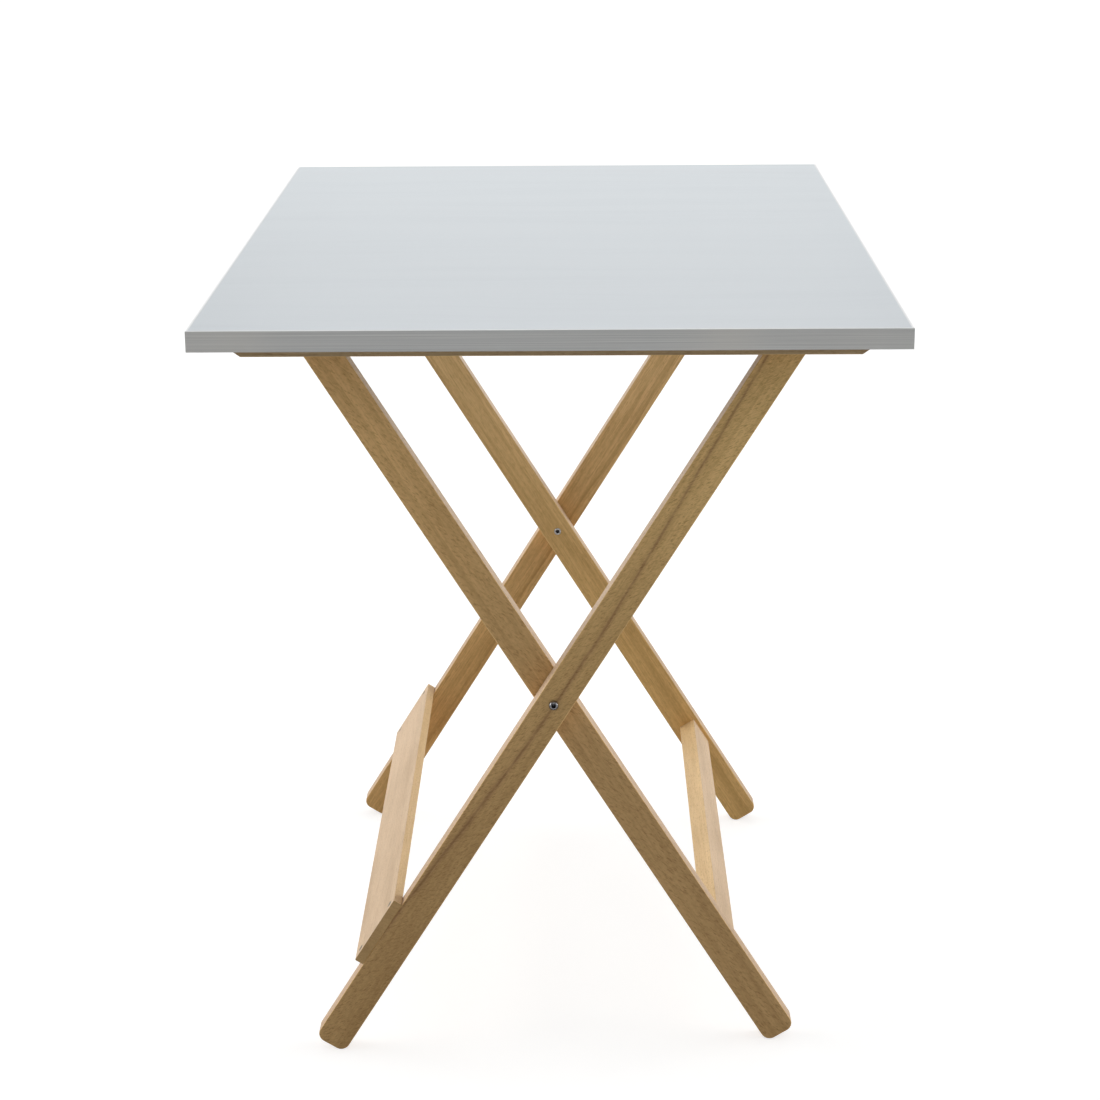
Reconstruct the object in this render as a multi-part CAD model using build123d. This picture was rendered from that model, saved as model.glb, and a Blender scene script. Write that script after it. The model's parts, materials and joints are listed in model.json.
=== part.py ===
from build123d import *
import math
import os

# Folding table: a rectangular laminated top on two crossed leg frames.
# +X runs across the table, in the plane in which the legs cross. +Y runs along it. +Z is up.
# The origin is on the floor, under the middle of the top. All sizes are in millimetres.

# ---- Driving dimensions ----
table_height = 740.0
top_width = 600.0
top_length = 900.0
top_thickness = 18.0
laminate_thickness = 0.8
band_thickness = 2.0
band_arris = 0.7

leg_width = 32.0
leg_thickness = 19.0
leg_arris = 1.0
foot_radius = 9.0
lean_deg = 32.0
pivot_height = 354.0
frame_length = 595.0
side_gap = 1.0

hinge_drop = 17.0

batten_depth = 34.0
batten_thickness = 19.0
batten_flat_length = 546.0
batten_bevel_run = 18.0
batten_bevel_rise = 13.0
batten_screw_stations = (-255.0, -85.0, 85.0, 255.0)
batten_counterbore = 8.0
counterbore_room = 0.3

outer_rail_width = 73.0
outer_rail_thickness = 9.0
outer_rail_start = 248.0
rail_screw_inset = 9.5

inner_rail_thickness = 19.0
inner_rail_width = 33.0
inner_rail_start = 276.0
inner_rail_offset = 2.5
dowel_diameter = 8.0
dowel_pitch = 16.0
dowel_in_leg = 12.0
dowel_in_rail = 16.0
dowel_chamfer = 0.8
glue_gap = 1.0

bar_diameter = 22.0
tenon_diameter = 16.0
tenon_length = 12.0

catch_length = 60.0
catch_height = 32.0
catch_outer_reach = 45.0
catch_inner_reach = 46.0
catch_station = 200.0
catch_clearance = 0.6
catch_release_deg = 58.8
catch_outer_screw_inset = 14.0
catch_inner_screw_inset = 11.0
catch_corner_radius = 3.0

sleeve_diameter = 8.0
sleeve_in_fixed_part = 8.0
running_clearance = 0.08
fixed_clearance = 0.05
sleeve_chamfer = 0.5
bolt_diameter = 5.0
bolt_hole_room = 0.2
bolt_tip_chamfer = 0.6
bolt_head_diameter = 9.0
bolt_head_height = 3.5
bolt_length = 27.0
hex_across_flats = 4.0
washer_diameter = 18.0
washer_hole_room = 0.3
washer_relief = 0.1

BATTEN_SCREW = dict(head_diameter=8.5, diameter=4.5, length=35.0)
CATCH_SCREW = dict(head_diameter=8.0, diameter=4.0, length=42.0)
RAIL_SCREW = dict(head_diameter=6.5, diameter=3.5, length=28.0)
screw_tip_room = 1.0
recess_share_of_head = 0.55
recess_share_of_height = 0.6

# ---- Derived places ----
lean = math.radians(lean_deg)
underside = table_height - top_thickness
hinge_height = underside - hinge_drop
hinge_reach = (hinge_height - pivot_height) / math.cos(lean)
hinge_offset = (hinge_height - pivot_height) * math.tan(lean)
foot_arc_offset = leg_width / 2 - foot_radius
foot_reach = (pivot_height - foot_radius - foot_arc_offset * math.sin(lean)) / math.cos(lean) + foot_radius

outer_face = frame_length / 2
outer_leg_centre = outer_face - leg_thickness / 2
outer_leg_inside = outer_face - leg_thickness
inner_leg_outside = outer_leg_inside - side_gap
inner_leg_centre = inner_leg_outside - leg_thickness / 2
inner_leg_inside = inner_leg_outside - leg_thickness
batten_inside = outer_face + side_gap
batten_centre = batten_inside + batten_thickness / 2
batten_outside = batten_inside + batten_thickness
sleeve_length = leg_thickness + side_gap + sleeve_in_fixed_part
washer_thickness = side_gap - washer_relief

OUTER = 1
INNER = -1
ENDS = {"near": -1, "far": 1}


def save(part, node):
    """Writes one sub-part's STEP file."""
    export_step(part, f"parts/{node}.step")


def on_leg(lean_side, part):
    """Places a part from a leg's own frame: origin on the pivot, +Z up the leg, +Y along the table."""
    return Pos(0, 0, pivot_height) * Rot(0, lean_side * lean_deg, 0) * part


def pointing_out(end, face, part, x=0.0, z=0.0):
    """Places a part built along +Z so that +Z points out of the table's end, with its origin on a face."""
    return Pos(x, end * face, z) * Rot(-90 * end, 0, 0) * part


def rounded_bar(length, width, thickness, arris):
    """A bar along Z with softened long edges, centred on the origin."""
    bar = Box(width, thickness, length)
    return fillet(bar.edges().filter_by(Axis.Z), arris)


# ---- Fasteners, each built along +Z with its head up and its bearing face at zero ----
def hex_socket(depth):
    """The hexagonal recess for a key, from zero down."""
    corner_radius = hex_across_flats / math.sqrt(3)
    return extrude(RegularPolygon(corner_radius, 6), -depth)


def cap_bolt():
    """A short cap-head bolt with a softened rim, a hexagonal socket and a plain shank."""
    socket_depth = 2.4
    rim_radius = 1.2
    head = extrude(Circle(bolt_head_diameter / 2), bolt_head_height)
    head = fillet(head.edges().filter_by(GeomType.CIRCLE).sort_by(Axis.Z)[-1], rim_radius)
    shank = extrude(Circle(bolt_diameter / 2), -bolt_length)
    shank = chamfer(shank.edges().filter_by(GeomType.CIRCLE).sort_by(Axis.Z)[0], bolt_tip_chamfer)
    return head + shank - Pos(0, 0, bolt_head_height) * hex_socket(socket_depth)


def sleeve_nut():
    """A plain sleeve nut: zero is its key end, which has a hexagonal socket; the thread is at the other."""
    socket_depth = 4.0
    thread_depth = 20.0
    sleeve = extrude(Circle(sleeve_diameter / 2), -sleeve_length)
    sleeve = chamfer(sleeve.edges().filter_by(GeomType.CIRCLE).sort_by(Axis.Z)[-1], sleeve_chamfer)
    thread = Pos(0, 0, -sleeve_length) * extrude(Circle(bolt_diameter / 2 + fixed_clearance), thread_depth)
    return sleeve - hex_socket(socket_depth) - thread


def washer():
    """The washer that keeps two turning bars apart, from zero up."""
    hole_radius = sleeve_diameter / 2 + washer_hole_room
    return extrude(Circle(washer_diameter / 2) - Circle(hole_radius), washer_thickness)


def cross_recess(width, depth):
    """The cross-shaped driver recess of a wood screw."""
    slot_width = width / 4
    return Pos(0, 0, -depth / 2) * (Box(width, slot_width, depth) + Box(slot_width, width, depth))


def wood_screw(head_diameter, diameter, length):
    """A countersunk wood screw, its flat head at zero and its point at -length."""
    head_height = (head_diameter - diameter) / 2
    tip_height = diameter
    outline = Polyline(
        (0, 0),
        (head_diameter / 2, 0),
        (diameter / 2, -head_height),
        (diameter / 2, tip_height - length),
        (0, -length),
        close=True,
    )
    body = revolve(Plane.XZ * make_face(outline), Axis.Z)
    return body - cross_recess(recess_share_of_head * head_diameter, recess_share_of_height * head_height)


def screw_hole(head_diameter, diameter, length):
    """The countersunk hole that a wood screw fills, with a little room."""
    head_radius = head_diameter / 2 + fixed_clearance
    radius = diameter / 2 + fixed_clearance
    bottom = -length - screw_tip_room
    outline = Polyline(
        (0, 0),
        (head_radius, 0),
        (radius, radius - head_radius),
        (radius, bottom),
        (0, bottom),
        close=True,
    )
    return revolve(Plane.XZ * make_face(outline), Axis.Z)


# ---- Where the screws go ----
def batten_screw_places(end):
    """Screws up through a batten, their heads at the bottom of deep counterbores."""
    head_level = underside - batten_depth + batten_counterbore
    return [Pos(x, end * batten_centre, head_level) * Rot(180, 0, 0) for x in batten_screw_stations]


def catch_screw_places(end):
    """Screws up through a catch block, one on each side of its slot."""
    outer = -hinge_offset - catch_outer_reach + catch_outer_screw_inset
    inner = -hinge_offset + catch_inner_reach - catch_inner_screw_inset
    level = underside - catch_height
    return [Pos(x, end * catch_station, level) * Rot(180, 0, 0) for x in (outer, inner)]


def rail_screw_places():
    """Screws through the outer rail into both outer legs, in the leg's own frame."""
    face = -leg_width / 2 - outer_rail_thickness
    stations = (outer_rail_start + rail_screw_inset, outer_rail_start + outer_rail_width - rail_screw_inset)
    return {
        end: [Pos(face, end * outer_leg_centre, -station) * Rot(0, -90, 0) for station in stations]
        for end in ENDS.values()
    }


def dowel_stations():
    """How far below the pivot the two dowels of each inner rail joint are."""
    middle = inner_rail_start + inner_rail_width / 2
    return (middle - dowel_pitch / 2, middle + dowel_pitch / 2)


# ---- Leg frames ----
def leg_blank():
    """A flat bar with a square, rounded foot and a fully round top, in the leg's own frame."""
    shaft = Pos(0, (hinge_reach - foot_reach) / 2) * Rectangle(leg_width, hinge_reach + foot_reach)
    shaft = fillet(shaft.vertices().group_by(Axis.Y)[0], foot_radius)
    outline = shaft + Pos(0, hinge_reach) * Circle(leg_width / 2)
    blank = extrude(Plane.XZ * outline, leg_thickness / 2, both=True)
    rims = blank.faces().filter_by(Axis.Y).edges()
    return fillet(rims, leg_arris)


def cross_hole(radius, depth, from_face, end, along=0.0, across=0.0):
    """A round hole along Y from a face, inwards, at a place in the leg's own frame."""
    hole = extrude(Circle(radius), -depth)
    return Pos(across, from_face * end, along) * Rot(-90 * end, 0, 0) * hole


def outer_leg(end):
    """An outer leg: bolt hole and sleeve seat at the pivot, running bore at the hinge, rail screw holes."""
    leg = Pos(0, end * outer_leg_centre, 0) * leg_blank()
    leg -= cross_hole(bolt_diameter / 2 + bolt_hole_room, leg_thickness, outer_face, end)
    leg -= cross_hole(sleeve_diameter / 2 + fixed_clearance, -sleeve_in_fixed_part, outer_leg_inside, end)
    leg -= cross_hole(sleeve_diameter / 2 + running_clearance, leg_thickness, outer_face, end, hinge_reach)
    for place in rail_screw_places()[end]:
        leg -= place * screw_hole(**RAIL_SCREW)
    return on_leg(OUTER, leg)


def inner_leg(end):
    """An inner leg: running bore at the pivot, blind sockets for the top bar and the rail's dowels."""
    leg = Pos(0, end * inner_leg_centre, 0) * leg_blank()
    leg -= cross_hole(sleeve_diameter / 2 + running_clearance, leg_thickness, inner_leg_outside, end)
    socket_radius = tenon_diameter / 2 + fixed_clearance
    leg -= cross_hole(socket_radius, -tenon_length, inner_leg_inside, end, hinge_reach)
    radius = dowel_diameter / 2 + fixed_clearance
    for station in dowel_stations():
        leg -= cross_hole(radius, -dowel_in_leg, inner_leg_inside, end, -station, inner_rail_offset)
    return on_leg(INNER, leg)


def outer_rail():
    """The wide board across the lower part of the outer legs, on their upper edges."""
    board = rounded_bar(frame_length, outer_rail_thickness, outer_rail_width, leg_arris)
    middle = -outer_rail_start - outer_rail_width / 2
    board = Pos(-(leg_width + outer_rail_thickness) / 2, 0, middle) * Rot(90, 0, 0) * board
    for places in rail_screw_places().values():
        for place in places:
            board -= place * screw_hole(**RAIL_SCREW)
    return on_leg(OUTER, board)


def outer_rail_screws():
    """The four screws of the outer rail."""
    places = [place for group in rail_screw_places().values() for place in group]
    return Compound(children=[on_leg(OUTER, place * wood_screw(**RAIL_SCREW)) for place in places])


def inner_rail():
    """The narrow rail butted between the inner legs, with dowel holes in its ends."""
    rail = rounded_bar(2 * inner_leg_inside, inner_rail_thickness, inner_rail_width, leg_arris)
    middle = -inner_rail_start - inner_rail_width / 2
    rail = Pos(inner_rail_offset, 0, middle) * Rot(90, 0, 0) * rail
    radius = dowel_diameter / 2 + fixed_clearance
    depth = dowel_in_rail + glue_gap
    for end in ENDS.values():
        for station in dowel_stations():
            rail -= cross_hole(radius, depth, inner_leg_inside, end, -station, inner_rail_offset)
    return on_leg(INNER, rail)


def inner_rail_dowels(end):
    """The two dowels of one end of the inner rail, against the bottom of their sockets in the leg."""
    length = dowel_in_leg + dowel_in_rail
    dowel = extrude(Circle(dowel_diameter / 2), -length)
    dowel = chamfer(dowel.edges().filter_by(GeomType.CIRCLE), dowel_chamfer)
    outer_end = inner_leg_inside + dowel_in_leg
    places = [Pos(inner_rail_offset, outer_end * end, -s) * Rot(-90 * end, 0, 0) for s in dowel_stations()]
    return Compound(children=[on_leg(INNER, place * dowel) for place in places])


def inner_top_bar():
    """The round bar between the tops of the inner legs, with a tenon at each end."""
    bar = extrude(Plane.XZ * Circle(bar_diameter / 2), inner_leg_inside, both=True)
    tenons = extrude(Plane.XZ * Circle(tenon_diameter / 2), inner_leg_inside + tenon_length, both=True)
    return on_leg(INNER, Pos(0, 0, hinge_reach) * (bar + tenons))


# ---- Tabletop ----
def top_panel(thickness, level):
    """One layer of the top inside the edge bands, its lower face at a level."""
    width = top_width - 2 * band_thickness
    length = top_length - 2 * band_thickness
    return Pos(0, 0, level + thickness / 2) * Box(width, length, thickness)


def drilled_for_screws(panel):
    """Cuts the batten and catch screws' holes out of a layer of the top."""
    for end in ENDS.values():
        for place in batten_screw_places(end):
            panel -= place * screw_hole(**BATTEN_SCREW)
        for place in catch_screw_places(end):
            panel -= place * screw_hole(**CATCH_SCREW)
    return panel


def edge_band(length):
    """One edge band along X with softened outer edges: its outer face is towards -Y, at zero."""
    middle = underside + top_thickness / 2
    band = Pos(0, band_thickness / 2, middle) * Box(length, band_thickness, top_thickness)
    outer_edges = band.edges().filter_by(Axis.X).group_by(Axis.Y)[0]
    return fillet(outer_edges, band_arris)


def batten(end):
    """A batten across the underside, bevelled at its lower corners, drilled for the hinge and screws."""
    bottom = underside - batten_depth
    half_flat = batten_flat_length / 2
    half_full = half_flat + batten_bevel_run
    outline = Polyline(
        (-half_full, underside),
        (half_full, underside),
        (half_full, bottom + batten_bevel_rise),
        (half_flat, bottom),
        (-half_flat, bottom),
        (-half_full, bottom + batten_bevel_rise),
        close=True,
    )
    bar = extrude(Plane.XZ * make_face(outline), batten_thickness / 2, both=True)
    bar = fillet(bar.edges().group_by(Axis.Z)[0].filter_by(Axis.X), leg_arris)
    bar = Pos(0, end * batten_centre, 0) * bar
    bolt_hole = extrude(Circle(bolt_diameter / 2 + bolt_hole_room), -batten_thickness)
    sleeve_seat = extrude(Circle(sleeve_diameter / 2 + fixed_clearance), sleeve_in_fixed_part)
    bar -= pointing_out(end, batten_outside, bolt_hole, hinge_offset, hinge_height)
    bar -= pointing_out(end, batten_inside, sleeve_seat, hinge_offset, hinge_height)
    counterbore_radius = BATTEN_SCREW["head_diameter"] / 2 + counterbore_room
    counterbore = extrude(Circle(counterbore_radius), batten_counterbore)
    for place in batten_screw_places(end):
        bar -= place * counterbore
        bar -= place * screw_hole(**BATTEN_SCREW)
    return bar


def catch_block(end):
    """A block with a slanting slot for the inner frame's top bar, which slides out as the top lifts."""
    level = underside - catch_height / 2
    width = catch_outer_reach + catch_inner_reach
    middle = -hinge_offset + (catch_inner_reach - catch_outer_reach) / 2
    block = Pos(middle, end * catch_station, level) * Box(width, catch_length, catch_height)
    block = fillet(block.edges().group_by(Axis.Z)[0].filter_by(Axis.Y), catch_corner_radius)
    seat_radius = bar_diameter / 2 + catch_clearance
    slot_reach = 60.0
    seat = Circle(seat_radius)
    straight = Pos(slot_reach / 2, 0) * Rectangle(slot_reach, 2 * seat_radius)
    way_out = Rot(0, 0, -catch_release_deg) * straight
    slot = extrude(Plane.XZ * (seat + way_out), catch_length, both=True)
    block -= Pos(-hinge_offset, end * catch_station, hinge_height) * slot
    for place in catch_screw_places(end):
        block -= place * screw_hole(**CATCH_SCREW)
    return block


def screw_group(places, screw):
    """Identical screws as separate solids of one sub-part."""
    return Compound(children=[place * wood_screw(**screw) for place in places])


# ---- Files, one for each sub-part ----
os.makedirs("parts", exist_ok=True)

core_thickness = top_thickness - 2 * laminate_thickness
save(drilled_for_screws(top_panel(core_thickness, underside + laminate_thickness)), "top_board")
save(top_panel(laminate_thickness, table_height - laminate_thickness), "top_laminate")
save(drilled_for_screws(top_panel(laminate_thickness, underside)), "underside_laminate")

side_band_length = top_length - 2 * band_thickness
save(Pos(0, -top_length / 2, 0) * edge_band(top_width), "edge_band_front")
save(Rot(0, 0, 180) * Pos(0, -top_length / 2, 0) * edge_band(top_width), "edge_band_back")
save(Rot(0, 0, -90) * Pos(0, -top_width / 2, 0) * edge_band(side_band_length), "edge_band_left")
save(Rot(0, 0, 90) * Pos(0, -top_width / 2, 0) * edge_band(side_band_length), "edge_band_right")

save(outer_rail(), "outer_rail")
save(outer_rail_screws(), "outer_rail_screws")
save(inner_rail(), "inner_rail")
save(inner_top_bar(), "inner_top_bar")

for name, end in ENDS.items():
    save(outer_leg(end), f"outer_leg_{name}")
    save(inner_leg(end), f"inner_leg_{name}")
    save(inner_rail_dowels(end), f"inner_rail_dowels_{name}")
    save(batten(end), f"batten_{name}")
    save(screw_group(batten_screw_places(end), BATTEN_SCREW), f"batten_screws_{name}")
    save(catch_block(end), f"catch_block_{name}")
    save(screw_group(catch_screw_places(end), CATCH_SCREW), f"catch_screws_{name}")

    save(pointing_out(end, outer_face, cap_bolt(), 0, pivot_height), f"pivot_bolt_{name}")
    pivot_sleeve = Rot(180, 0, 0) * sleeve_nut()
    save(pointing_out(end, inner_leg_inside, pivot_sleeve, 0, pivot_height), f"pivot_sleeve_nut_{name}")
    pivot_washer = Pos(0, 0, -washer_thickness) * washer()
    save(pointing_out(end, outer_leg_inside, pivot_washer, 0, pivot_height), f"pivot_washer_{name}")

    save(pointing_out(end, batten_outside, cap_bolt(), hinge_offset, hinge_height), f"hinge_bolt_{name}")
    hinge_sleeve = Rot(180, 0, 0) * sleeve_nut()
    hinge_place = (hinge_offset, hinge_height)
    save(pointing_out(end, outer_leg_inside, hinge_sleeve, *hinge_place), f"hinge_sleeve_nut_{name}")
    hinge_washer = Pos(0, 0, -washer_thickness) * washer()
    save(pointing_out(end, batten_inside, hinge_washer, *hinge_place), f"hinge_washer_{name}")
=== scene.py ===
import json
import math

import bpy
from mathutils import Matrix, Vector


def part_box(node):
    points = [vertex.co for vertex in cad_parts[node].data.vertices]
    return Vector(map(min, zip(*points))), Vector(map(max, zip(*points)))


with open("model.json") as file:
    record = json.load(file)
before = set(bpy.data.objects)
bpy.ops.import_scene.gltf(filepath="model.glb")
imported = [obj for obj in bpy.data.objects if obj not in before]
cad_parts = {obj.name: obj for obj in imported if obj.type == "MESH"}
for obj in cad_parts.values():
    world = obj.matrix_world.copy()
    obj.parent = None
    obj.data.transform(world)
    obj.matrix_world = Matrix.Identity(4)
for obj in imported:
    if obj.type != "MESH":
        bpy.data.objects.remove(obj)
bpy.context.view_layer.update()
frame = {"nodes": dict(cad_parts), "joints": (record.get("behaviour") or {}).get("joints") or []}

# Folding table with crossed legs, in metres. +X runs across the table, +Y along it, +Z up.
# The CAD pieces keep their shapes. They get their materials here, and a floor, lights and a camera.

ENDS = ("near", "far")


# ---- What the frame says ----
def joint_place(name):
    """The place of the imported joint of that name."""
    return Vector(next(joint["pos_m"] for joint in frame["joints"] if joint["name"] == name))


PIVOT = joint_place("leg_fold")
HINGE = joint_place("top_swing")
TOP_NEAR_EDGE, TOP_FAR_EDGE = (corner[1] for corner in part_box("top_laminate"))

# How far the outer legs, the inner legs and a level bar lean from +Z towards +X.
OUTER_LEAN = math.atan2(HINGE.x - PIVOT.x, HINGE.z - PIVOT.z)
INNER_LEAN = -OUTER_LEAN
LEVEL = math.pi / 2


# ---- Node graphs ----
class Graph:
    """The nodes of a material or a world, with short calls that add to them.

    A value is a number, a tuple or another node's socket.
    """

    # A Mix node's sockets when it mixes colours.
    MIX_SHARE = 0
    MIX_FIRST = 6
    MIX_SECOND = 7
    MIX_RESULT = 2

    def __init__(self, owner, shader="Principled BSDF"):
        owner.use_nodes = True
        self.owner = owner
        self.tree = owner.node_tree
        self.shader = self.tree.nodes[shader]
        self.coordinates = self.tree.nodes.new("ShaderNodeTexCoord").outputs

    def put(self, socket, value):
        """Gives a socket a value or a link."""
        if isinstance(value, bpy.types.NodeSocket):
            self.tree.links.new(value, socket)
        else:
            socket.default_value = value

    def node(self, kind, inputs=(), **settings):
        """Adds a node with its settings and the values of its inputs, by name or number."""
        made = self.tree.nodes.new(kind)
        for key, value in settings.items():
            setattr(made, key, value)
        for key, value in dict(inputs).items():
            self.put(made.inputs[key], value)
        return made

    def math(self, operation, first, second=0.0, third=0.0):
        """One Math node's result."""
        inputs = {0: first, 1: second, 2: third}
        return self.node("ShaderNodeMath", inputs, operation=operation).outputs[0]

    def squares(self, first, second):
        """The sum of the squares of two numbers."""
        first_square = self.math("MULTIPLY", first, first)
        second_square = self.math("MULTIPLY", second, second)
        return self.math("ADD", first_square, second_square)

    def turned(self, vector, rotation=(0, 0, 0), scale=(1, 1, 1), offset=(0, 0, 0)):
        """A vector scaled, then turned, then moved."""
        inputs = {"Vector": vector, "Rotation": rotation, "Scale": scale, "Location": offset}
        return self.node("ShaderNodeMapping", inputs).outputs[0]

    def split(self, vector):
        """The three parts of a vector."""
        return self.node("ShaderNodeSeparateXYZ", {0: vector}).outputs

    def noise(self, vector, grain, detail=2.0, roughness=0.5, distortion=0.0):
        """Fractal noise from 0 to 1, about 0.5. Its grain in 1/m is one number or one for each axis."""
        scale = grain if isinstance(grain, tuple) else (grain, grain, grain)
        inputs = {
            "Vector": self.turned(vector, scale=scale),
            "Scale": 1.0,
            "Detail": detail,
            "Roughness": roughness,
            "Distortion": distortion,
        }
        return self.node("ShaderNodeTexNoise", inputs).outputs["Fac"]

    def step(self, value, low, high, start=0.0, end=1.0):
        """Smoothly from start to end as value goes from low to high."""
        inputs = {"Value": value, "From Min": low, "From Max": high, "To Min": start, "To Max": end}
        return self.node("ShaderNodeMapRange", inputs, interpolation_type="SMOOTHSTEP").outputs[0]

    def mix(self, share, first, second, blend="MIX"):
        """Two colours mixed, with a share of the second from 0 to 1."""
        inputs = {self.MIX_SHARE: share, self.MIX_FIRST: first, self.MIX_SECOND: second}
        made = self.node("ShaderNodeMix", inputs, data_type="RGBA", blend_type=blend)
        return made.outputs[self.MIX_RESULT]

    def tinted(self, colour, tint):
        """A colour times a tint."""
        return self.mix(1.0, colour, tint, blend="MULTIPLY")

    def bump(self, height, distance=1.0):
        """A normal bent by a height, which counts in units of the distance in metres."""
        inputs = {"Height": height, "Distance": distance, "Strength": 1.0}
        return self.node("ShaderNodeBump", inputs).outputs[0]

    def finish(self, **values):
        """Sets the shader's sockets, by name with underscores for spaces, and returns the owner."""
        for key, value in values.items():
            self.put(self.shader.inputs[key.replace("_", " ")], value)
        return self.owner


def rgb(red, green, blue):
    """An opaque linear colour."""
    return (red, green, blue, 1.0)


WHITE = rgb(1.0, 1.0, 1.0)


def dress(material, *nodes):
    """Gives CAD nodes a material."""
    for name in nodes:
        slots = frame["nodes"][name].data.materials
        slots.clear()
        slots.append(material)


def both(kind):
    """The names of the near and the far node of a kind."""
    return [f"{kind}_{end}" for end in ENDS]


# ---- Beech ----
# Tints of shaded wood, faded wood and the heart line.
SHADED = rgb(0.60, 0.53, 0.42)
FADED = rgb(1.15, 1.16, 1.20)
RUDDY = rgb(0.58, 0.50, 0.50)

# How far one seed's piece of wood lies from the next, in metres along the bar's own axes.
SEED_STEP = (0.37, 0.21, 0.53)

# What a cut of wood looks like. A face looks along Y, an edge looks square to Y, and an arris is between
# them; these tones paint light and shade by the way a surface faces, with painted shade on the faces and
# painted light on the edges and arrises. The low tones are painted shade at the lower end of a bar, or at
# the near end of one along Y, and narrow is the painted tone of a rail's narrow edges, by the way they
# face.
# The middle of the bar lies at ring_offset from the centre line of its growth rings, which reach their
# full strength at ring_side, in metres across the bar. A grid is the grain of a noise, a turn is in
# radians, and mottle and the strengths go from 0 to 1.
PLAIN_CUT = dict(
    face=rgb(0.66, 0.44, 0.185),
    low_face=rgb(0.56, 0.36, 0.150),
    edge=rgb(0.97, 0.76, 0.56),
    low_edge=rgb(0.68, 0.48, 0.31),
    arris=rgb(0.86, 0.57, 0.23),
    narrow=None,
    ring_offset=(0.05, 0.09),
    ring_strength=0.30,
    ring_side=None,
    fleck_turn=0.0,
    fleck_grid=(620, 450, 120),
    fleck_strength=0.45,
    figure_grid=(480, 480, 200),
    mottle=0.25,
    streak_strength=0.26,
    fibre_strength=0.34,
    heart_line=False,
)


def bar_coordinates(graph, lean, along_y):
    """Coordinates of a bar in metres: X across its width, Y through its thickness, Z along the grain.

    The bar leans from +Z towards +X, or else runs along Y with its width at that lean.
    """
    vector = graph.turned(graph.coordinates["Object"], offset=-PIVOT)
    vector = graph.turned(vector, rotation=(0, -lean, 0))
    if along_y:
        vector = graph.turned(vector, rotation=(math.pi / 2, 0, 0))
    return vector


def bar_tone(graph, cut, lean, along):
    """The tone of a bar, by the way its surface faces and by the place along it: painted shade on the
    faces that look along Y and towards the low end, painted light on the edges and arrises.
    """
    # Along the bar the tones run from painted shade at the low end to painted light at the high end.
    low_end = -0.22
    high_end = 0.42
    normal = graph.coordinates["Normal"]
    flatness = graph.math("ABSOLUTE", graph.split(normal)[1])
    height = graph.step(along, low_end, high_end)
    face = graph.mix(height, cut["low_face"], cut["face"])
    edge = graph.mix(height, cut["low_edge"], cut["edge"])
    # A rail's narrow edges get their own painted tone, by the way they face.
    if cut["narrow"]:
        upright = graph.split(graph.turned(normal, rotation=(0, -lean, 0)))[2]
        edge = graph.mix(graph.step(graph.math("ABSOLUTE", upright), 0.35, 0.90), edge, cut["narrow"])
    tone = graph.mix(graph.step(flatness, 0.20, 0.55), edge, cut["arris"])
    return graph.mix(graph.step(flatness, 0.70, 0.97), tone, face)


def late_wood(graph, cut, bar, place):
    """Where the darker wood of each growth ring shows, from 0 to the rings' strength."""
    ring_spacing = 0.0042
    wander_reach = 0.022
    uneven_reach = 0.003
    fade_start = -0.010
    across, through, _ = graph.split(bar)
    wander = graph.noise(place, (5, 5, 4))
    uneven = graph.noise(place, (70, 70, 7))
    x = graph.math("MULTIPLY_ADD", wander, wander_reach, graph.math("ADD", across, cut["ring_offset"][0]))
    y = graph.math("ADD", through, cut["ring_offset"][1])
    radius = graph.math("POWER", graph.squares(x, y), 0.5)
    radius = graph.math("MULTIPLY_ADD", uneven, uneven_reach, radius)
    ring = graph.math("FRACT", graph.math("DIVIDE", radius, ring_spacing))
    darkening = graph.step(ring, 0.35, 0.90)
    sharp_end = graph.step(ring, 0.90, 1.0, start=1.0, end=0.0)
    dark = graph.math("MULTIPLY", darkening, sharp_end)
    shown = graph.step(graph.noise(place, (30, 30, 4), detail=3), 0.32, 0.62)
    rings = graph.math("MULTIPLY", graph.math("MULTIPLY", dark, shown), cut["ring_strength"])
    if cut["ring_side"] is not None:
        side = graph.step(across, fade_start, cut["ring_side"], start=0.25, end=1.0)
        rings = graph.math("MULTIPLY", rings, side)
    return rings


def heart_line(graph, bar, place):
    """A soft dark line along the middle of the bar that bends to one edge at both ends, from 0 to 1."""
    upper_bend_start = 0.10
    upper_bend_slope = 0.047
    lower_bend_start = -0.04
    lower_bend_slope = 0.073
    bend_softness = 0.06
    sway_reach = 0.0034
    line_offset = -0.0007
    core_strength = 0.50
    halo_strength = 0.38
    across, _, along = graph.split(bar)
    above = graph.math("SUBTRACT", along, upper_bend_start)
    above = graph.math("SMOOTH_MAX", above, 0.0, bend_softness)
    below = graph.math("SUBTRACT", lower_bend_start, along)
    below = graph.math("SMOOTH_MAX", below, 0.0, bend_softness)
    bend = graph.math("MULTIPLY", above, upper_bend_slope)
    bend = graph.math("MULTIPLY_ADD", below, lower_bend_slope, bend)
    sway = graph.noise(place, (0, 0, 22), detail=4)
    line = graph.math("SUBTRACT", graph.math("MULTIPLY_ADD", sway, sway_reach, line_offset), bend)
    distance = graph.math("ABSOLUTE", graph.math("SUBTRACT", across, line))
    core = graph.step(distance, 0.0003, 0.0016, start=core_strength, end=0.0)
    halo = graph.step(distance, 0.0005, 0.0055, start=halo_strength, end=0.0)
    patchy = graph.step(graph.noise(place, (60, 60, 45)), 0.25, 0.6, start=0.6, end=1.0)
    return graph.math("MULTIPLY", graph.math("ADD", core, halo), patchy)


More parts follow.
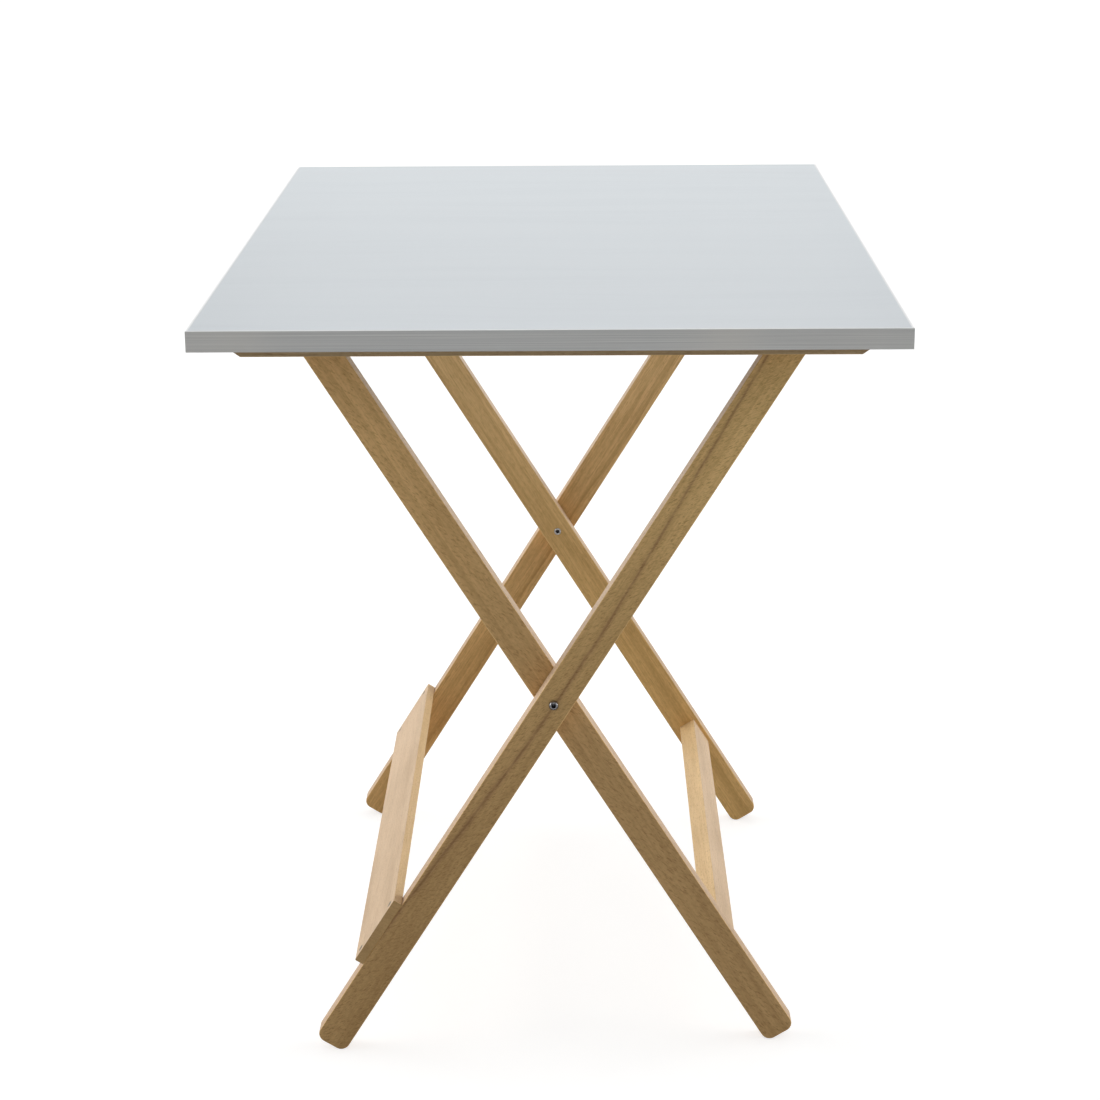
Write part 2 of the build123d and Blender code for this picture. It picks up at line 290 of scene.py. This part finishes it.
def beech(name, seed, lean=0.0, along_y=False, **changes):
    """Clear-lacquered beech: growth rings, fine fibres, short ray flecks and a mottled figure."""
    cut = {**PLAIN_CUT, **changes}
    graph = Graph(bpy.data.materials.new(name))
    bar = bar_coordinates(graph, lean, along_y)
    place = graph.turned(bar, offset=tuple(seed * part for part in SEED_STEP))
    tilted = graph.turned(place, rotation=(0, cut["fleck_turn"], 0))

    fibres = graph.noise(place, (900, 900, 22), detail=4, roughness=0.65)
    streaks = graph.noise(place, (260, 260, 7), detail=3, roughness=0.55)
    patches = graph.noise(place, (26, 26, 6), detail=3, roughness=0.55)
    flecks = graph.step(graph.noise(tilted, cut["fleck_grid"], distortion=0.3), 0.54, 0.70)
    figure = graph.noise(tilted, cut["figure_grid"], detail=3, roughness=0.6)

    colour = bar_tone(graph, cut, lean, graph.split(bar)[2])
    dark = graph.tinted(colour, SHADED)
    pale = graph.tinted(colour, FADED)
    layers = (
        (graph.step(patches, 0.45, 0.70, end=0.65), pale),
        (graph.step(patches, 0.30, 0.50, start=0.30, end=0.0), dark),
        (graph.step(streaks, 0.45, 0.75, end=cut["streak_strength"]), dark),
        (late_wood(graph, cut, bar, place), dark),
        (graph.math("MULTIPLY", flecks, cut["fleck_strength"]), dark),
        (graph.step(fibres, 0.38, 0.72, end=cut["fibre_strength"]), dark),
        (graph.step(figure, 0.50, 0.72, end=cut["mottle"]), dark),
        (graph.step(figure, 0.28, 0.50, start=cut["mottle"], end=0.0), pale),
    )
    for share, tone in layers:
        colour = graph.mix(share, colour, tone)
    if cut["heart_line"]:
        colour = graph.mix(heart_line(graph, bar, place), colour, graph.tinted(colour, RUDDY))

    fleck_relief = -0.6
    figure_relief = 2.4 * cut["mottle"]
    relief = graph.math("MULTIPLY_ADD", flecks, fleck_relief, fibres)
    relief = graph.math("MULTIPLY_ADD", figure, figure_relief, relief)
    gloss = graph.step(fibres, 0.3, 0.8, start=0.42, end=0.56)
    bump = graph.bump(relief, distance=0.00010)
    return graph.finish(Base_Color=colour, Roughness=gloss, Normal=bump, Specular_IOR_Level=0.35)


# ---- Laminate, edge band and board ----
def laminate():
    """Pale cool grey laminate, painted a little darker to the near end as shade against the sheen of the
    far end, with faint streaks across the table.
    """
    streak_tones = (rgb(0.645, 0.692, 0.724), rgb(0.682, 0.730, 0.762))
    wide_tone = rgb(0.692, 0.738, 0.767)
    cloud_tone = rgb(0.692, 0.741, 0.773)
    near_painted_shade = rgb(0.905, 0.905, 0.91)
    drift_reach = 0.05
    streak_relief = 0.4
    graph = Graph(bpy.data.materials.new("top_laminate"))
    place = graph.coordinates["Object"]
    drift = graph.math("MULTIPLY", graph.noise(place, (4, 9, 1)), drift_reach)
    drift = graph.node("ShaderNodeCombineXYZ", {"Y": drift}).outputs[0]
    drifted = graph.node("ShaderNodeVectorMath", {0: place, 1: drift}, operation="ADD").outputs[0]
    streaks = graph.noise(drifted, (8, 230, 1), detail=5, roughness=0.62)
    wide = graph.noise(drifted, (1.6, 26, 1), detail=3)
    clouds = graph.noise(place, 3)
    grit = graph.noise(place, 2600, detail=1)
    colour = graph.mix(graph.step(streaks, 0.3, 0.7), *streak_tones)
    colour = graph.mix(graph.step(wide, 0.35, 0.65, end=0.5), colour, wide_tone)
    colour = graph.mix(graph.step(clouds, 0.3, 0.7, end=0.25), colour, cloud_tone)
    # Painted shade towards the near end, standing in for the sheen that the far end shows.
    depth = graph.step(graph.split(place)[1], TOP_NEAR_EDGE, TOP_FAR_EDGE)
    colour = graph.mix(depth, graph.tinted(colour, near_painted_shade), colour)
    gloss = graph.step(streaks, 0.2, 0.8, start=0.38, end=0.46)
    bump = graph.bump(graph.math("MULTIPLY_ADD", streaks, streak_relief, grit), distance=0.00002)
    return graph.finish(Base_Color=colour, Roughness=gloss, Normal=bump, Specular_IOR_Level=0.36)


def edge_band(name, along_y):
    """Grey edging with fine lengthwise lines, slow changes of tone and a painted highlight on its
    upward-facing upper arris.
    """
    line_tones = (rgb(0.548, 0.556, 0.553), rgb(0.758, 0.763, 0.744))
    band_tone = rgb(0.585, 0.596, 0.594)
    slow_tone = rgb(0.76, 0.735, 0.68)
    painted_highlight_tone = rgb(0.86, 0.87, 0.88)

    def grain(along, across):
        """The grain of a noise along the band and across it."""
        return (across, along, across) if along_y else (along, across, across)

    graph = Graph(bpy.data.materials.new(name))
    place = graph.coordinates["Object"]
    lines = graph.noise(place, grain(3, 1100), detail=3, roughness=0.7)
    bands = graph.noise(place, grain(1.5, 300))
    slow = graph.noise(place, grain(6, 1))
    upward = graph.split(graph.coordinates["Normal"])[2]
    colour = graph.mix(graph.step(lines, 0.3, 0.7), *line_tones)
    colour = graph.mix(graph.step(bands, 0.35, 0.7, end=0.5), colour, band_tone)
    colour = graph.mix(graph.step(slow, 0.45, 0.75, end=0.7), colour, slow_tone)
    # Painted highlight on the faces that look up, along the upper arris.
    colour = graph.mix(graph.step(upward, 0.25, 0.7, end=0.9), colour, painted_highlight_tone)
    bump = graph.bump(lines, distance=0.00003)
    return graph.finish(Base_Color=colour, Roughness=0.38, Normal=bump)


def underside():
    """Plain matt balancing laminate."""
    cloud_tones = (rgb(0.50, 0.50, 0.485), rgb(0.56, 0.56, 0.545))
    grit_tone = rgb(0.42, 0.42, 0.41)
    graph = Graph(bpy.data.materials.new("underside_laminate"))
    place = graph.coordinates["Object"]
    grit = graph.noise(place, 900)
    clouds = graph.noise(place, 4, detail=3)
    colour = graph.mix(graph.step(clouds, 0.3, 0.7), *cloud_tones)
    colour = graph.mix(graph.step(grit, 0.4, 0.7, end=0.2), colour, grit_tone)
    bump = graph.bump(grit, distance=0.00004)
    return graph.finish(Base_Color=colour, Roughness=0.6, Normal=bump)


def particle_board():
    """Pressed wood chips."""
    chip_tones = (rgb(0.30, 0.20, 0.11), rgb(0.58, 0.44, 0.28))
    graph = Graph(bpy.data.materials.new("board_core"))
    chips = graph.node("ShaderNodeTexVoronoi", {"Vector": graph.coordinates["Object"], "Scale": 420.0})
    grey = graph.node("ShaderNodeRGBToBW", {0: chips.outputs["Color"]}).outputs[0]
    colour = graph.mix(grey, *chip_tones)
    bump = graph.bump(grey, distance=0.0002)
    return graph.finish(Base_Color=colour, Roughness=0.85, Normal=bump)


# ---- Metal ----
def plated_steel(name, colour, roughness, axis=None, dome=0.0):
    """Zinc-plated steel with fine marks and dull blotches.

    Round an axis along Y, the key sockets are painted dark as the shade in their recesses, and a dome
    rounds the faces of the heads by its curvature in 1/m.
    """
    socket_radius = 0.00235
    socket_painted_shade = rgb(0.035, 0.033, 0.04)
    dull_share = 0.45
    blotch_relief = 3.0
    mark_depth = 0.00003
    graph = Graph(bpy.data.materials.new(name))
    place = graph.coordinates["Object"]
    marks = graph.noise(place, 1500, detail=3)
    blotches = graph.noise(place, 650, detail=3, roughness=0.6)
    dull = rgb(*(dull_share * part for part in colour[:3]))
    tint = graph.mix(graph.step(blotches, 0.42, 0.66, end=0.8), colour, dull)
    gloss = graph.step(marks, 0.3, 0.7, start=roughness - 0.06, end=roughness + 0.08)
    relief = graph.math("MULTIPLY_ADD", blotches, blotch_relief, marks)
    relief = graph.math("MULTIPLY", relief, mark_depth)
    if axis:
        across, _, up = graph.split(graph.turned(place, offset=(-axis.x, 0, -axis.z)))
        squares = graph.squares(across, up)
        radius = graph.math("POWER", squares, 0.5)
        # Painted shade in the key socket, where the recess lies in shadow.
        inside = graph.step(radius, 0.90 * socket_radius, socket_radius, start=0.85, end=0.0)
        tint = graph.mix(inside, tint, socket_painted_shade)
        if dome:
            relief = graph.math("MULTIPLY_ADD", squares, -dome / 2, relief)
    return graph.finish(Base_Color=tint, Metallic=1.0, Roughness=gloss, Normal=graph.bump(relief))


# ---- Dressing the frame ----
def dress_top():
    """Materials of the top's own layers."""
    dress(laminate(), "top_laminate")
    dress(underside(), "underside_laminate")
    dress(particle_board(), "top_board")
    dress(edge_band("edge_band_across", along_y=False), "edge_band_front", "edge_band_back")
    dress(edge_band("edge_band_along", along_y=True), "edge_band_left", "edge_band_right")


def dress_legs():
    """Each leg has its own cut of beech, with painted shade in its face tones: darker on the near legs,
    paler on the far ones.
    """
    # The face and low_face tones carry painted shade: darker on the near legs, paler on the far legs.
    near_outer = beech(
        "beech_outer_near", 1.0, OUTER_LEAN,
        face=rgb(0.81, 0.55, 0.225), low_face=rgb(0.58, 0.365, 0.150), ring_strength=0.15,
        fleck_turn=math.radians(-32), fleck_grid=(1150, 700, 210), fleck_strength=0.85,
        figure_grid=(820, 600, 300), mottle=0.5, heart_line=True,
    )
    far_outer = beech(
        "beech_outer_far", 2.0, OUTER_LEAN,
        face=rgb(1.0, 0.68, 0.315), low_face=rgb(0.85, 0.525, 0.205),
        ring_offset=(0.11, 0.03), ring_strength=0.95, ring_side=0.006,
        fleck_strength=0.4, streak_strength=0.5, fibre_strength=0.6,
    )
    near_inner = beech(
        "beech_inner_near", 3.0, INNER_LEAN,
        face=rgb(0.77, 0.495, 0.205), low_face=rgb(0.61, 0.385, 0.163), ring_strength=0.35,
        fleck_turn=math.radians(20), fleck_grid=(900, 600, 190), fleck_strength=0.7,
        mottle=0.4, streak_strength=0.14,
    )
    far_inner = beech(
        "beech_inner_far", 4.0, INNER_LEAN,
        face=rgb(0.92, 0.64, 0.305), low_face=rgb(0.89, 0.575, 0.220), ring_strength=0.6,
        fleck_strength=0.35, streak_strength=0.4, fibre_strength=0.45,
    )
    dress(near_outer, "outer_leg_near")
    dress(far_outer, "outer_leg_far")
    dress(near_inner, "inner_leg_near")
    dress(far_inner, "inner_leg_far")


def dress_rails():
    """The rails' ends, which look along Y, carry painted shade, and their edges painted light: a pale
    broad edge and a yellower narrow one.
    """
    # Painted shade on the rails' ends, which look along Y.
    painted_shade_ends = rgb(0.56, 0.36, 0.155)
    broad = rgb(0.735, 0.535, 0.345)
    cut = dict(
        face=painted_shade_ends, low_face=painted_shade_ends, edge=broad, low_edge=broad, ring_strength=0.2,
        fleck_grid=(900, 900, 260), fleck_strength=0.42,
        mottle=0.15, streak_strength=0.08, fibre_strength=0.20,
    )
    outer = beech("beech_outer_rail", 5.0, OUTER_LEAN, along_y=True, narrow=rgb(0.77, 0.54, 0.285), **cut)
    inner = beech("beech_inner_rail", 6.0, INNER_LEAN, along_y=True, narrow=rgb(0.88, 0.625, 0.33), **cut)
    dress(outer, "outer_rail")
    dress(inner, "inner_rail")


def dress_hidden_wood():
    """The top bar, the dowels, the battens and the catches."""
    # The battens' faces, under the top's overhang, are painted darker than their edges as shade.
    face = rgb(0.48, 0.345, 0.190)
    edge = rgb(0.60, 0.42, 0.24)
    batten_painted_shade = dict(face=face, low_face=face, edge=edge, low_edge=edge)
    dress(beech("beech_top_bar", 7.0, INNER_LEAN, along_y=True), "inner_top_bar")
    dress(beech("beech_dowels", 8.0, INNER_LEAN, along_y=True), *both("inner_rail_dowels"))
    dress(beech("beech_battens", 9.0, LEVEL, **batten_painted_shade), *both("batten"))
    dress(beech("beech_catches", 10.0, along_y=True), *both("catch_block"))


def dress_metal():
    """Bolts, sleeve nuts, washers and screws."""
    steel = rgb(0.44, 0.44, 0.46)
    bright = rgb(0.92, 0.92, 0.92)
    warm = rgb(0.40, 0.34, 0.27)
    for kind, axis in (("pivot", PIVOT), ("hinge", HINGE)):
        dress(plated_steel(f"{kind}_bolt_zinc", steel, 0.19, axis, dome=175), *both(f"{kind}_bolt"))
        dress(plated_steel(f"{kind}_sleeve_zinc", bright, 0.42, axis), *both(f"{kind}_sleeve_nut"))
        dress(plated_steel(f"{kind}_washer_zinc", steel, 0.30), *both(f"{kind}_washer"))
    screws = plated_steel("screw_zinc", warm, 0.42)
    dress(screws, "outer_rail_screws", *both("batten_screws"), *both("catch_screws"))


# ---- Studio ----
def sees_camera(graph):
    """One for what the camera sees directly, zero for light that bounces."""
    return graph.node("ShaderNodeLightPath").outputs["Is Camera Ray"]


def floor():
    """A wide pale floor, lit a little from within so that shadows on it stay faint."""
    half = 30.0
    glow_strength = 0.62
    tones = (rgb(0.54, 0.54, 0.54), rgb(0.55, 0.55, 0.55))
    mesh = bpy.data.meshes.new("floor")
    corners = [(-half, -half, 0), (half, -half, 0), (half, half, 0), (-half, half, 0)]
    mesh.from_pydata(corners, [], [(0, 1, 2, 3)])
    plane = bpy.data.objects.new("floor", mesh)
    bpy.context.scene.collection.objects.link(plane)
    graph = Graph(bpy.data.materials.new("floor"))
    colour = graph.mix(graph.noise(graph.coordinates["Object"], 0.6, detail=1), *tones)
    glow = graph.math("MULTIPLY", sees_camera(graph), glow_strength)
    surface = dict(Base_Color=colour, Roughness=0.9, Specular_IOR_Level=0.0)
    mesh.materials.append(graph.finish(**surface, Emission_Color=WHITE, Emission_Strength=glow))


def sun(name, energy, spread, height, heading):
    """A distant soft light: its height above the floor, and its heading from +X towards +Y, in degrees."""
    data = bpy.data.lights.new(name, "SUN")
    data.energy = energy
    data.angle = math.radians(spread)
    holder = bpy.data.objects.new(name, data)
    holder.rotation_euler = (0, math.radians(90 - height), math.radians(heading))
    bpy.context.scene.collection.objects.link(holder)


def softbox(name, power, size, place, target):
    """A square light that faces a target and isn't seen itself."""
    data = bpy.data.lights.new(name, "AREA")
    data.energy = power
    data.size = size
    holder = bpy.data.objects.new(name, data)
    aim = (Vector(target) - Vector(place)).to_track_quat("-Z", "Y")
    holder.matrix_world = Matrix.Translation(place) @ aim.to_matrix().to_4x4()
    holder.visible_camera = False
    bpy.context.scene.collection.objects.link(holder)


def room():
    """Bright walls behind and beside the table and a dim one in front, all white to the camera."""
    side_share = 0.6
    dim, bright = 0.27, 0.79
    world = bpy.data.worlds.new("room")
    bpy.context.scene.world = world
    graph = Graph(world, "Background")
    x, y, _ = graph.split(graph.coordinates["Generated"])
    towards_walls = graph.math("MULTIPLY_ADD", graph.math("ABSOLUTE", x), side_share, y)
    wall = graph.step(towards_walls, -0.45, 0.6, start=dim, end=bright)
    graph.finish(Color=WHITE, Strength=graph.math("MAXIMUM", wall, sees_camera(graph)))


def lights():
    """Low soft lights from both sides and softboxes behind and in front of the table, in a pale room."""
    sun("right_side", energy=1.6, spread=50, height=13, heading=10)
    sun("left_side", energy=1.8, spread=50, height=13, heading=170)
    softbox("behind", power=3, size=1.2, place=(0.0, 1.75, 1.75), target=(0.0, 0.0, 0.7))
    softbox("front", power=1.4, size=0.22, place=(0.0, -2.06, 1.71), target=(0.0, -0.36, 0.36))
    room()


def camera():
    """The camera, 2.5 m in front of the middle of the table and 0.44 m above its top.

    Its angles are in radians, and its focal length is a share of the sensor's width.
    """
    place = Vector((0.0226, -2.4928, 1.1808))
    pitch = 0.29917
    yaw = -0.01137
    roll = 0.00707
    sensor_width = 36.0
    focal_share = 2.3050
    forward = Vector((math.sin(yaw) * math.cos(pitch), math.cos(yaw) * math.cos(pitch), -math.sin(pitch)))
    right = Vector((math.cos(yaw), -math.sin(yaw), 0.0))
    down = forward.cross(right)
    rolled_right = right * math.cos(roll) + down * math.sin(roll)
    rolled_up = right * math.sin(roll) - down * math.cos(roll)
    turn = Matrix((rolled_right, rolled_up, -forward)).transposed()
    data = bpy.data.cameras.new("camera")
    data.sensor_width = sensor_width
    data.lens = focal_share * sensor_width
    holder = bpy.data.objects.new("camera", data)
    holder.matrix_world = Matrix.Translation(place) @ turn.to_4x4()
    bpy.context.scene.collection.objects.link(holder)
    bpy.context.scene.camera = holder


dress_top()
dress_legs()
dress_rails()
dress_hidden_wood()
dress_metal()
floor()
lights()
camera()
bpy.context.scene.view_settings.view_transform = "Standard"
